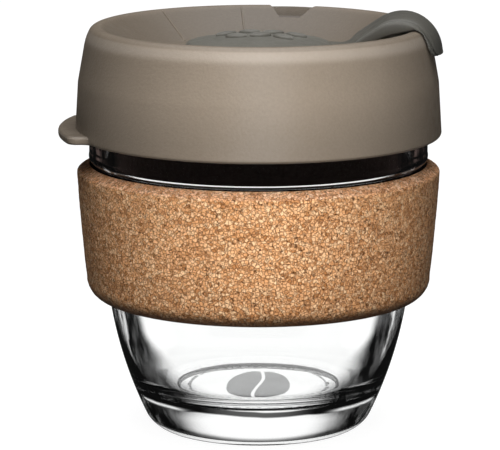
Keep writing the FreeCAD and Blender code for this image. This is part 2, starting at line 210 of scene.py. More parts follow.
def cut(piece, cutters):
    """Takes the cutters out of a piece and removes them."""
    for cutter in cutters:
        step = piece.modifiers.new("cut", "BOOLEAN")
        step.operation, step.solver, step.object = "DIFFERENCE", "EXACT", cutter
    bpy.context.view_layer.update()
    solid = piece.evaluated_get(bpy.context.evaluated_depsgraph_get())
    mesh = bpy.data.meshes.new_from_object(solid)
    piece.modifiers.clear()
    piece.data = mesh
    for cutter in cutters:
        bpy.data.objects.remove(cutter)
    return piece


# ---------------------------------------------------------------- materials

def linear(red, green, blue):
    """A colour given as 0 to 255, as shaders want it."""
    return [((c / 255 + 0.055) / 1.055) ** 2.4 if c > 10 else c / 255 / 12.92
            for c in (red, green, blue)] + [1.0]


class Nodes:
    """A material's node tree, with short ways to add and join nodes."""

    def __init__(self, name):
        self.material = bpy.data.materials.new(name)
        self.material.use_nodes = True
        self.tree = self.material.node_tree
        self.tree.nodes.clear()
        self.output = self.tree.nodes.new("ShaderNodeOutputMaterial")

    def add(self, kind, settings=None, **inputs):
        node = self.tree.nodes.new("ShaderNode" + kind)
        for key, value in (settings or {}).items():
            setattr(node, key, value)
        for key, value in inputs.items():
            socket = node.inputs[int(key[1:]) if key[0] == "i" and key[1:].isdigit()
                                 else key.replace("_", " ")]
            if isinstance(value, bpy.types.NodeSocket):
                self.tree.links.new(value, socket)
            else:
                socket.default_value = value
        return node

    def noise(self, scale, detail=2.0, roughness=0.5, vector=None):
        node = self.add("TexNoise", Scale=scale, Detail=detail, Roughness=roughness)
        self.tree.links.new(vector or self.place(), node.inputs["Vector"])
        return node.outputs["Fac"]

    def cells(self, scale, feature="F1", output="Distance", vector=None, randomness=1.0):
        node = self.add("TexVoronoi", {"feature": feature}, Scale=scale, Randomness=randomness)
        self.tree.links.new(vector or self.place(), node.inputs["Vector"])
        return node.outputs[output]

    def place(self):
        return self.add("TexCoord").outputs["Object"]

    def remap(self, value, low, high, to_low=0.0, to_high=1.0):
        node = self.add("MapRange", {"interpolation_type": "SMOOTHSTEP"}, Value=value, i1=low, i2=high,
                        i3=to_low, i4=to_high)
        return node.outputs[0]

    def math(self, operation, a, b=0.0):
        return self.add("Math", {"operation": operation}, i0=a, i1=b).outputs[0]

    def blend_colour(self, factor, a, b, kind="MIX"):
        node = self.add("Mix", {"data_type": "RGBA", "blend_type": kind})
        for index, value in ((0, factor), (6, a), (7, b)):
            if isinstance(value, bpy.types.NodeSocket):
                self.tree.links.new(value, node.inputs[index])
            else:
                node.inputs[index].default_value = value
        return node.outputs[2]

    def bump(self, height, distance, strength=1.0, normal=None):
        node = self.add("Bump", Height=height, Distance=distance, Strength=strength)
        if normal:
            self.tree.links.new(normal, node.inputs["Normal"])
        return node.outputs[0]

    def normal_z(self):
        return self.add("SeparateXYZ", i0=self.add("NewGeometry").outputs["Normal"]).outputs["Z"]

    def near(self, value, centre, width):
        """1 at the centre, falling to 0 at a width either side."""
        away = self.math("ABSOLUTE", self.math("SUBTRACT", value, centre))
        return self.remap(away, 0.0, width, 1.0, 0.0)

    def wavy(self, height):
        """A height that wanders by up to 0.3 mm."""
        return self.math("ADD", height, self.remap(self.noise(60.0, 2.0), 0.3, 0.7, -0.0003, 0.0003))

    def paint_underside_shade(self, colour, dark, share):
        """Paints shade on faces that look down: turns them towards a dark colour by a share."""
        lit_share = self.remap(self.normal_z(), -0.75, -0.12, 1.0 - share, 1.0)
        return self.blend_colour(lit_share, dark, colour)

    def finish(self, shader):
        self.tree.links.new(shader, self.output.inputs["Surface"])
        return self.material


def glass_material():
    """Clear glass. Where walls are seen edge-on, a near-black glass is painted over them as dark bands,
    standing for the dark side panels glass shows there, with painted glints and light streaks in the bands
    and a painted dark line near the height of the inside floor. Reflections inside the neck are painted dark
    as painted shade, and soft light passes through without bending."""
    n = Nodes("clear_glass_look")
    wobble = n.bump(n.noise(110.0, 2.0), 0.00003, 0.8)
    fine = n.remap(n.noise(700.0, 2.0), 0.35, 0.75, 0.0, 0.02)
    ray = n.add("LightPath")
    # Painted shade: reflections inside the glass from the cork's foot up turn near black.
    neck = n.add("Attribute", {"attribute_name": "neck"}).outputs["Fac"]
    inner = n.math("MULTIPLY", neck, n.math("GREATER_THAN", ray.outputs["Glossy Depth"], 0.5))
    body = n.blend_colour(inner, (0.985, 0.99, 0.987, 1), (0.01, 0.005, 0.004, 1))
    clear = n.add("BsdfPrincipled", IOR=1.5, Roughness=fine, Normal=wobble, Transmission_Weight=1.0,
                  Base_Color=body)
    # Painted dark bands: this near-black glass is mixed over walls seen edge-on, in place of dark side panels
    # seen through the glass.
    dark = n.add("BsdfPrincipled", IOR=1.5, Roughness=0.04, Normal=wobble,
                 Base_Color=(0.004, 0.004, 0.004, 1))
    facing = n.add("LayerWeight", Blend=0.5, Normal=wobble).outputs["Facing"]
    wall = n.add("Attribute", {"attribute_name": "wall"}).outputs["Fac"]
    upright = n.remap(n.normal_z(), -0.8, -0.5)
    outside = n.math("SUBTRACT", 1.0, n.add("NewGeometry").outputs["Backfacing"])
    height = n.add("SeparateXYZ", i0=n.place()).outputs["Z"]
    tall = n.add("VectorMath", {"operation": "MULTIPLY"}, i0=n.place(), i1=(1.0, 1.0, 0.25)).outputs[0]
    waver = n.noise(260.0, 2.0, 0.6, tall)
    band = n.math("ADD", facing, n.remap(waver, 0.3, 0.7, -0.03, 0.03))
    # Painted glints: light streaks in the dark bands and painted light lines at two heights, which thin the
    # dark out.
    painted_glint = n.math("MULTIPLY", n.near(band, 0.66, 0.07), n.remap(n.noise(420.0, 2.0, 0.6, tall), 0.4, 0.58))
    rim = n.math("MULTIPLY", n.near(band, 0.84, 0.08), n.remap(n.noise(310.0, 2.0, 0.6, tall), 0.35, 0.6))
    painted_glint = n.math("MAXIMUM", n.math("MULTIPLY", painted_glint, n.remap(height, 0.014, 0.018)),
                   n.math("MULTIPLY", rim, 0.5))
    painted_ledge_glint = n.math("MAXIMUM", n.near(n.wavy(height), 0.0141, 0.0007), n.near(n.wavy(height), 0.0088, 0.0007))
    painted_ledge_glint = n.math("MULTIPLY", painted_ledge_glint, n.remap(n.near(facing, 0.6, 0.3), 0.0, 0.5))
    light = n.math("MULTIPLY", n.math("MAXIMUM", painted_glint, painted_ledge_glint), 0.85)
    start = n.math("ADD", n.remap(height, 0.012, 0.02, 0.15, 0.28), n.remap(height, 0.02, 0.028, 0.0, 0.13))
    start = n.math("ADD", start, n.remap(height, 0.006, 0.011, 0.14, 0.0))
    width = n.remap(height, 0.018, 0.028, 0.22, 0.08)
    edge = n.remap(n.math("DIVIDE", n.math("SUBTRACT", facing, start), width), 0.0, 1.0)
    grey = n.remap(n.noise(190.0, 3.0, 0.65, tall), 0.38, 0.66, 0.0, 0.14)
    edge = n.math("MULTIPLY", n.math("MULTIPLY", edge, n.math("SUBTRACT", 1.0, grey)), upright)
    # A painted dark line round the wall near the height of the inside floor.
    thick = n.remap(facing, 0.16, 0.5, 0.0009, 0.0022)
    away = n.math("ABSOLUTE", n.math("SUBTRACT", n.wavy(height), n.remap(facing, 0.16, 0.4, 0.0091, 0.0095)))
    painted_floor_line = n.math("MULTIPLY", n.remap(n.math("DIVIDE", away, thick), 0.5, 1.0, 1.0, 0.0), outside)
    painted_floor_line = n.math("MULTIPLY", painted_floor_line, n.remap(facing, 0.16, 0.3, 0.88, 1.0))
    edge = n.math("MAXIMUM", edge, n.math("MAXIMUM", painted_floor_line, n.remap(facing, 0.86, 0.98, 0.0, 0.7)))
    edge = n.math("MULTIPLY", edge, n.math("SUBTRACT", 1.0, light))
    solid = n.add("MixShader", i0=n.math("MULTIPLY", edge, wall), i1=clear.outputs[0], i2=dark.outputs[0])
    unseen = n.math("MAXIMUM", ray.outputs["Is Shadow Ray"], ray.outputs["Is Diffuse Ray"])
    pass_on = n.blend_colour(neck, (0.93, 0.93, 0.93, 1), (0.03, 0.03, 0.03, 1))
    through = n.add("BsdfTransparent", Color=pass_on)
    return n.finish(n.add("MixShader", i0=unseen, i1=solid.outputs[0], i2=through.outputs[0]).outputs[0])


def cork_material():
    """Pressed cork: pale granules, dark bark specks and seams between the granules. Faces that look up get
    painted light, and the band gets painted shade towards its bottom, on faces that look down and on its
    inner face against the glass.
    """
    n = Nodes("cork_look")
    bend = n.add("TexNoise", Scale=1500.0, Detail=2.0)
    place = n.place()
    n.tree.links.new(place, bend.inputs["Vector"])
    shift = n.add("VectorMath", {"operation": "SCALE"}, i0=bend.outputs["Color"], Scale=0.0005)
    spot = n.add("VectorMath", {"operation": "ADD"}, i0=place, i1=shift.outputs[0]).outputs[0]
    seam = n.cells(1250.0, "DISTANCE_TO_EDGE", "Distance", spot)
    grain = n.add("SeparateColor", i0=n.cells(1250.0, "F1", "Color", spot))
    tone = n.add("ValToRGB", Fac=grain.outputs[0])
    stops = ((0.0, (172, 122, 72)), (0.2, (222, 172, 118)), (0.6, (243, 198, 146)), (1.0, (255, 228, 184)))
    ramp_stops = tone.color_ramp.elements
    for i, (position, colour) in enumerate(stops):
        stop = ramp_stops[i] if i < 2 else ramp_stops.new(position)
        stop.position, stop.color = position, linear(*colour)
    broad = n.remap(n.noise(260.0, 3.0, 0.6), 0.35, 0.7)
    body = n.blend_colour(n.math("MULTIPLY", broad, 0.25), tone.outputs[0], linear(214, 166, 116))
    pale = n.remap(n.noise(2300.0, 2.0, 0.7, spot), 0.54, 0.66)
    body = n.blend_colour(n.math("MULTIPLY", pale, 0.4), body, linear(248, 220, 184))
    fleck = n.remap(n.noise(3100.0, 2.0, 0.6), 0.52, 0.62)
    body = n.blend_colour(n.math("MULTIPLY", fleck, 0.5), body, linear(164, 112, 66))
    bark = n.remap(n.noise(1500.0, 3.0, 0.75), 0.58, 0.64)
    body = n.blend_colour(n.math("MULTIPLY", bark, 0.85), body, linear(84, 50, 24))
    crack = n.remap(seam, 0.0, 0.12, 1.0, 0.0)
    body = n.blend_colour(n.math("MULTIPLY", crack, 0.5), body, linear(124, 82, 48))
    body = n.blend_colour(1.0, body, (0.9, 0.77, 0.71, 1), "MULTIPLY")
    # Painted light: faces that look up, such as the top chamfer, are lightened.
    painted_top_light = n.blend_colour(n.remap(n.normal_z(), 0.35, 0.75), (1, 1, 1, 1), (1.2, 1.22, 1.4, 1))
    body = n.blend_colour(1.0, body, painted_top_light, "MULTIPLY")
    # Painted shade: darker towards the band's bottom edge and on faces that look down.
    foot = n.add("SeparateXYZ", i0=place).outputs["Z"]
    body = n.blend_colour(n.remap(foot, 0.033, 0.046, 0.78, 1.0), linear(40, 20, 6), body)
    body = n.paint_underside_shade(body, linear(40, 20, 6), 0.85)
    # Painted shade on the inner face, which lies against the glass.
    inner_face_shade = n.add("Attribute", {"attribute_name": "inner_face_shade"}).outputs["Fac"]
    body = n.blend_colour(inner_face_shade, body, linear(34, 20, 12))
    height = n.math("SUBTRACT", n.math("MULTIPLY", n.noise(1500.0, 3.0, 0.6), 0.7), crack)
    relief = n.bump(n.math("SUBTRACT", height, bark), 0.00022, 1.0)
    rough = n.remap(n.noise(1100.0), 0.3, 0.7, 0.7, 0.92)
    shader = n.add("BsdfPrincipled", Base_Color=body, Roughness=rough, Normal=relief,
                   Specular_IOR_Level=0.3)
    return n.finish(shader.outputs[0])


def moulded_material(name, colour, light, edge, grain_size, depth, rough, shine, arm=1.0, crest=0.0):
    """Moulded plastic or rubber with a spark-eroded grain. Painted shade turns it towards the colour given as
    edge: towards the bottom of the lid's skirt, in the well, on the notch, on faces that look down, beyond
    the hub by the share given as arm and again at the arm's tip. A painted highlight turns the rolled crest
    pale by the share given as crest."""
    n = Nodes(name)
    mottle = n.remap(n.noise(45.0, 3.0), 0.3, 0.7)
    body = n.blend_colour(n.math("MULTIPLY", mottle, 0.12), linear(*colour), linear(*light))
    fine = n.noise(grain_size, 3.0, 0.65)
    speck = n.remap(fine, 0.25, 0.75)
    body = n.blend_colour(n.math("MULTIPLY", speck, 0.22), body, linear(*light))
    well = n.add("Attribute", {"attribute_name": "well"}).outputs["Fac"]
    # Painted highlight: the rolled crest turns pale.
    rolled = n.math("MULTIPLY", n.remap(n.normal_z(), 0.2, 0.36), n.remap(n.normal_z(), 0.4, 0.65, 1.0, 0.0))
    body = n.blend_colour(n.math("MULTIPLY", rolled, crest), body, linear(255, 244, 232))
    # Painted shade: darker towards the bottom of the skirt, inside the well and on the notch.
    foot = n.add("SeparateXYZ", i0=n.place()).outputs["Z"]
    lit_share = n.math("MULTIPLY", n.remap(foot, 0.0735, 0.087, 0.76, 1.0), n.remap(well, 0.0, 1.0, 1.0, 0.8))
    notch = n.add("Attribute", {"attribute_name": "notch"}).outputs["Fac"]
    lit_share = n.math("MULTIPLY", lit_share, n.remap(notch, 0.0, 1.0, 1.0, 0.66))
    # Painted shade beyond the hub, as on the arm, by the share given as arm, and more at the arm's tip, so
    # the hub looks lit from above.
    flat = n.add("VectorMath", {"operation": "MULTIPLY"}, i0=n.place(), i1=(1.0, 1.0, 0.0)).outputs[0]
    away = n.add("VectorMath", {"operation": "LENGTH"}, i0=flat).outputs["Value"]
    lit_share = n.math("MULTIPLY", lit_share, n.remap(away, 0.0155, 0.02, 1.0, arm))
    tip_shade = n.math("MULTIPLY", n.remap(away, 0.036, 0.039), n.remap(foot, 0.0935, 0.1, 1.0, 0.0))
    lit_share = n.math("MULTIPLY", lit_share, n.math("SUBTRACT", 1.0, n.math("MULTIPLY", tip_shade, 1.0 - arm)))
    # The painted shade is laid in here, in the colour given as edge, with more on faces that look down.
    body = n.paint_underside_shade(n.blend_colour(lit_share, linear(*edge), body), linear(*edge), 0.5)
    relief = n.bump(fine, depth, 0.8, n.bump(n.noise(110.0, 2.0), 0.00005, 0.5))
    patches = n.remap(n.noise(300.0, 2.0), 0.3, 0.7, rough - 0.05, rough + 0.08)
    shader = n.add("BsdfPrincipled", Base_Color=body, Roughness=patches, Normal=relief,
                   Specular_IOR_Level=shine)
    return n.finish(shader.outputs[0])


def print_material():
    """Grey fired ink, slightly uneven."""
    n = Nodes("ink_look")
    uneven = n.remap(n.noise(500.0, 3.0), 0.3, 0.7)
    body = n.blend_colour(uneven, linear(176, 176, 178), linear(190, 190, 192))
    relief = n.bump(n.noise(2500.0), 0.00002, 0.5)
    rough = n.remap(n.noise(900.0), 0.3, 0.7, 0.5, 0.65)
    return n.finish(n.add("BsdfPrincipled", Base_Color=body, Roughness=rough, Normal=relief).outputs[0])


def floor_material():
    """A pale studio table. It throws little light back onto the cup and shows white through it."""
    n = Nodes("floor_look")
    grain = n.remap(n.noise(30.0, 2.0), 0.3, 0.7)
    body = n.blend_colour(grain, (0.93, 0.93, 0.93, 1), (0.95, 0.95, 0.95, 1))
    pale = n.add("BsdfPrincipled", Base_Color=body, Roughness=0.9, Specular_IOR_Level=0.0)
    white = n.add("Emission", Color=(1, 1, 1, 1), Strength=1.12)
    dim = n.add("BsdfDiffuse", Color=(0.08, 0.08, 0.08, 1))
    dark = n.add("BsdfDiffuse", Color=(0.01, 0.01, 0.01, 1))
    ray = n.add("LightPath")
    seen = n.add("MixShader", i0=0.8, i1=pale.outputs[0], i2=white.outputs[0])
    lit = n.add("MixShader", i0=ray.outputs["Is Diffuse Ray"], i1=seen.outputs[0], i2=dim.outputs[0])
    both = n.add("MixShader", i0=ray.outputs["Is Glossy Ray"], i1=lit.outputs[0], i2=dark.outputs[0])
    through = n.add("MixShader", i0=ray.outputs["Is Transmission Ray"], i1=both.outputs[0],
                    i2=white.outputs[0])
    return n.finish(through.outputs[0])


GLASS = glass_material()
CORK = cork_material()
# The lid's crest gets a painted highlight, and the plug's arm painted shade by the share 0.7.
LID = moulded_material("lid_look", (126, 114, 100), (152, 140, 126), (8, 6, 5), 1500.0, 0.00012, 0.34, 0.5,
                       crest=0.12)
PLUG = moulded_material("plug_look", (109, 107, 100), (133, 131, 124), (10, 9, 8), 1800.0, 0.00005, 0.36, 0.4,
                        0.7)
INK = print_material()


# ---------------------------------------------------------------- glass

GLASS_OUTLINE = outline([
    (0, 2.0), (20.8, 2.0), (20.8, 1.0, 1.0), (21.8, 0), (24.2, 0, 6.8), (27.6, 3.3, 100.0), (36.2, 31.5),
    (40.25, 64.9, 2.3), (40.9, 67.3), (40.9, MOUTH - 1.45, 1.45), (39.45, MOUTH, 1.45),
    (38.0, MOUTH - 1.45), (37.2, 64.0), (32.6, 31.5, -64.0), (27.4, 14.55, -8.2), (20.0, 9.8), (0, 9.8),
], closed=False, radius=0.15)


def glass_cup():
    """The cup, marked where its outer wall is, for the painted dark edges, and where its neck is, from the
    cork's foot up, for painted shade inside.
    """
    piece = lathe("glass", GLASS_OUTLINE, 256, GLASS, smooth_angle=80.0)
    lip = int(np.argmax(GLASS_OUTLINE[:, 1]))
    wall = piece.data.attributes.new("wall", "FLOAT", "POINT")
    neck = piece.data.attributes.new("neck", "FLOAT", "POINT")
    for i, vertex in enumerate(piece.data.vertices):
        height = vertex.co.z / MM
        wall.data[i].value = float(i // 256 < lip - 3) * float(ramp(height, 0.0, 0.5))
        neck.data[i].value = float(ramp(height, CORK_BOTTOM - 2.0, CORK_BOTTOM))
    return piece


# ---------------------------------------------------------------- cork

def cork_relief(ring, segments):
    """Granules stand a little proud, and some have fallen out and left pits."""
    random = np.random.default_rng(7)
    field = random.normal(size=(len(ring), segments))
    for _ in range(2):
        field = (field + np.roll(field, 1, 0) + np.roll(field, -1, 0)
                 + np.roll(field, 1, 1) + np.roll(field, -1, 1)) / 5
    field /= field.std()
    pits = np.zeros_like(field)
    for _ in range(420):
        i, j = random.integers(len(ring)), random.integers(segments)
        wide, tall = random.integers(1, 3), random.integers(1, 3)
        for di in range(-tall, tall + 1):
            for dj in range(-wide, wide + 1):
                pits[(i + di) % len(ring), (j + dj) % segments] = random.uniform(0.5, 1.0)
    inward = -0.05 + 0.022 * np.clip(field, -2.2, 2.2) - 0.14 * pits
    r = ring[:, 0]
    rolled = np.roll(ring, -1, 0) - np.roll(ring, 1, 0)
    normal = np.column_stack([rolled[:, 1], -rolled[:, 0]])
    normal /= np.linalg.norm(normal, axis=1)[:, None]
    worn = ramp(normal[:, 0], -0.2, 0.4) * ramp(ring[:, 1], CORK_BOTTOM, CORK_BOTTOM + 2)
    moved = (inward * worn[:, None])
    new_r = r[:, None] + normal[:, 0][:, None] * moved
    new_z = ring[:, 1][:, None] + normal[:, 1][:, None] * moved
    angle = np.arange(segments) * 2 * math.pi / segments
    return np.column_stack([(new_r * np.cos(angle)).ravel(), (new_r * np.sin(angle)).ravel(),
                            new_z.ravel()])


def cork_band():
    points = outline([
        (36.32, CORK_BOTTOM), (37.85, CORK_BOTTOM, 4.9), (41.75, 37.0, 500.0), (43.9, 62.4, 1.0),
        (43.2, 63.4), (41.0, CORK_TOP), (40.25, CORK_TOP - 0.4),
    ], radius=0.5, longest=0.45)
    inner = (points[:, 0] < 36.4 + (points[:, 1] - CORK_BOTTOM) * 0.125 + 0.3)
    keep = [i for i in range(len(points)) if not inner[i] or i % 6 == 0]
    piece = lathe("cork", points[keep], 640, CORK, smooth_angle=60.0, shape=cork_relief)
    # Marks the inner face, which the cork look paints dark as painted shade.
    inner_face_shade = piece.data.attributes.new("inner_face_shade", "FLOAT", "POINT")
    for i in range(len(piece.data.vertices)):
        inner_face_shade.data[i].value = float(inner[keep[i // 640]])
    return piece


# ---------------------------------------------------------------- lid

LID_OUTLINE = [
    (42.3, SKIRT), (43.3, SKIRT, 0.9), (44.2, SKIRT + 0.9), (43.45, 84.6), (41.9, 93.2, 11.6),
    (40.7, 96.75, 2.17), (38.85, 97.9, 2.5), (37.37, 97.42), (28.98, 91.29, -1.5), (28.1, 91.0),
    (4.08, 91.0), (4.08, 89.2), (29.5, 89.2), (36.0, 93.95), (36.0, 81.0), (37.15, 81.0),
    (37.55, 81.4), (37.86, 82.6), (37.55, 83.8), (37.55, 94.3), (40.3, 94.3), (41.3, 91.8),
    (41.3, 77.0), (41.02, 75.5), (41.3, 74.0),
]


def prism(name, outline_low, outline_high, material):
    """A solid between two horizontal outlines with equal counts of points."""
    return rings(name, [outline_low, outline_high], material, smooth_angle=20.0)


def stadium(x, y, z, along_x, along_y, count=48):
    """A rounded slot's outline, long along Y."""
    turn = np.arange(count) / count * 2 * math.pi
    run = (along_y - along_x) / 2
    return np.column_stack([x + along_x / 2 * np.cos(turn),
                            y + along_x / 2 * np.sin(turn) + run * np.sign(np.sin(turn) + 1e-9),
                            np.full(count, float(z))])


def turned_by(points, degrees):
    a = math.radians(degrees)
    points = np.asarray(points, float)
    return np.column_stack([points[:, 0] * math.cos(a) - points[:, 1] * math.sin(a),
                            points[:, 0] * math.sin(a) + points[:, 1] * math.cos(a), points[:, 2]])


# The notch in the crest: where it stands, then its radius, width and floor from its inner end out.
NOTCH_DEGREES = 81.0
NOTCH = ((33.9, 4.4, 95.3), (35.3, 6.6, 95.78), (38.85, 12.6, 97.0), (41.4, 17.0, 97.9))


def notch_cutter():
    """A flared wedge whose floor rises outwards, drawn along +X and turned to its place."""
    rows = []
    for r, width, floor in NOTCH:
        half = width / 2
        rows.append([(r, -half, floor + 0.35), (r, -half + 0.12, floor + 0.1), (r, -half + 0.4, floor),
                     (r, half - 0.4, floor), (r, half - 0.12, floor + 0.1), (r, half, floor + 0.35),
                     (r, half + 0.3, 101.0), (r, -half - 0.3, 101.0)])
    wedge = rings("notch", [turned_by(row, NOTCH_DEGREES) for row in rows], LID)
    wedge.data.shade_flat()
    return wedge


def rib(name, degrees, height):
    """A thin rib up the slope of the well, 0.42 high at its foot and of the given height further up."""
    rows = []
    for r, half in ((28.6, 0.3), (29.6, 0.28), (33.5, 0.22), (37.2, 0.16), (38.0, 0.13), (38.5, 0.08)):
        slope = 91.29 + (min(r, 37.37) - 28.98) * 0.7306
        top = slope + 0.42 - (0.42 - height) * float(ramp(r, 29.0, 37.0))
        if r > 37.9:
            top = slope + 0.1
        if r < 29:
            top = slope + 0.2
        rows.append([(r, -half, slope - 0.9), (r, half, slope - 0.9), (r, half, top - 0.22),
                     (r, half * 0.45, top), (r, -half * 0.45, top), (r, -half, top - 0.22)])
    return rings(name, [turned_by(row, degrees) for row in rows], LID)


def thumb_tab():
    """A flat lip with rounded corners and hollow sides, drawn about +X and turned to 184.5 degrees."""
    reach, root, corner, side, inside = 48.3, 43.9, 2.6, 3.2, 43.0
    root_angle = math.asin(19.2 / root)
    far, near = reach - corner, root + side
    between = math.acos((far ** 2 + near ** 2 - (corner + side) ** 2) / (2 * far * near))
    corner_angle = root_angle - between
    corner_at = np.array([far * math.cos(corner_angle), far * math.sin(corner_angle)])
    side_at = np.array([near * math.cos(root_angle), near * math.sin(root_angle)])
    lean = math.atan2(*(side_at - corner_at)[::-1])
    half = [(reach * math.cos(a), reach * math.sin(a)) for a in np.linspace(0, corner_angle, 14)[:-1]]
    half += [corner_at + corner * np.array([math.cos(a), math.sin(a)])
             for a in np.linspace(corner_angle, lean, 14)[:-1]]
    back = lean - math.pi
    half += [side_at + side * np.array([math.cos(a), math.sin(a)])
             for a in np.linspace(back, root_angle - math.pi, 14)]
    half += [(inside * math.cos(a), inside * math.sin(a)) for a in np.linspace(root_angle, 0, 14)]
    half = np.array(half)
    plan = np.vstack([half, (half * [1, -1])[::-1][1:-1]])
    ahead = np.roll(plan, -1, 0) - np.roll(plan, 1, 0)
    normal = np.column_stack([ahead[:, 1], -ahead[:, 0]])
    normal /= np.linalg.norm(normal, axis=1)[:, None]
    inner = np.hypot(*plan.T) < 43.1
    normal[inner] = 0
    rows = []
    for inset, height in ((2.2, 0.0), (0.65, 0.0), (0.33, 0.09), (0.1, 0.33), (0.0, 0.65), (0.0, 1.35),
                          (0.1, 1.67), (0.33, 1.91), (0.65, 2.0), (1.6, 2.04)):
        flat = plan - normal * inset
        rows.append(turned_by(np.column_stack([flat, np.full(len(flat), SKIRT + height)]), 184.5))
    return rings("thumb_tab", rows, LID, smooth_angle=50.0)


def lid():
    """The lid's shell, cut by the notch, sip hole and vent and marked where painted shade goes in its well
    and on its notch, then its tab and ribs."""
    piece = lathe("lid_shell", outline(LID_OUTLINE, radius=0.3, longest=0.9), 320, LID, smooth_angle=50.0)
    hole = prism("sip", stadium(32.8, 0, 80, 4.8, 11.0), stadium(32.8, 0, 101, 4.8, 11.0), LID)
    turn = np.arange(24) / 24 * 2 * math.pi
    ring = np.column_stack([-24.5 + 0.8 * np.cos(turn), 0.8 * np.sin(turn)])
    vent = prism("vent", np.column_stack([ring, np.full(24, 85.0)]),
                 np.column_stack([ring, np.full(24, 95.0)]), LID)
    piece = cut(piece, [notch_cutter(), hole, vent])
    piece.data.set_sharp_from_angle(angle=math.radians(38))
    # Marks for painted shade inside the well and on the notch.
    well = piece.data.attributes.new("well", "FLOAT", "POINT")
    for i, vertex in enumerate(piece.data.vertices):
        x, y, z = vertex.co / MM
        inside = 1 - float(ramp(math.hypot(x, y), 36.2, 38.4))
        well.data[i].value = inside * float(ramp(z, 90.5, 90.9))
    notch = piece.data.attributes.new("notch", "FLOAT", "FACE")
    inner, width, floor = NOTCH[0]
    for i, face in enumerate(piece.data.polygons):
        along, across, z = turned_by([face.center / MM], -NOTCH_DEGREES)[0]
        above = z - floor - (along - inner) * 0.3467
        half = width / 2 + (along - inner) * 0.84
        notch.data[i].value = float(along > inner and abs(across) < half and -0.1 < above < 0.4)
    return [piece, thumb_tab(), rib("rib_near_notch", 100.6, 0.42), rib("rib_far", 133.5, 0.3)]


# ---------------------------------------------------------------- plug

# The arm's top and underside from its root to its tip, in stretches that pair up.
ARM_TOP = [
    ([(19.2, 93.35, 7.5), (22.6, 94.6)], 10),
    ([(22.6, 94.6), (29.9, 99.8)], 26),
    ([(29.9, 99.8, -8.69), (38.4, 100.7)], 24),
    ([(38.4, 100.7, -9.72), (44.2, 92.9)], 30),
    ([(44.2, 92.9), (44.4, ARM_TIP + 0.5)], 5),
]
ARM_UNDER = [
    ([(19.2, 91.45), (22.7, 91.7)], 10),
    ([(22.7, 91.7), (30.4, 95.7)], 26),
    ([(30.4, 95.7, -16.9), (34.6, 97.2), (38.85, 98.15)], 24),
    ([(38.85, 98.15, -2.47), (40.98, 96.88, -11.9), (42.22, 93.25)], 30),
    ([(42.22, 93.25), (42.5, ARM_TIP + 0.5)], 5),
]
HALF_WIDTH = 10.0


def spaced(stretches):
    """Points along an open outline, with a set count in each stretch."""
    points = []
    for corners, count in stretches:
        run = outline(corners, closed=False, radius=0.3, longest=0.05)
        along = np.concatenate([[0], np.cumsum(np.linalg.norm(np.diff(run, axis=0), axis=1))])
        wanted = np.linspace(0, along[-1], count + 1)[:-1]
        points.append(np.column_stack([np.interp(wanted, along, run[:, k]) for k in (0, 1)]))
    return np.vstack(points + [[stretches[-1][0][-1][:2]]])


def dome(rho):
    """The hub's top at a distance from the axis, rounded down at its edge."""
    rho = np.minimum(np.abs(rho), 17.8)
    sag = HUB_TOP - (79.3 - np.sqrt(79.3 ** 2 - rho ** 2))
    edge = np.clip((rho - 16.6) / 1.2, 0, 1)
    return sag - 1.05 * (1 - np.sqrt(1 - edge ** 2))


def crown(y, half):
    """How far the arm's top drops off its centre line, with a groove and a bead at each side."""
    inward = half - np.abs(y)
    drop = 1.35 * (np.abs(y) / HALF_WIDTH) ** 2.2
    groove = 0.8 * np.exp(-((inward - 1.3) / 0.3) ** 2)
    edge = np.clip(1 - inward / 0.8, 0, 1)
    return drop + groove + 0.7 * (1 - np.sqrt(1 - edge ** 2))


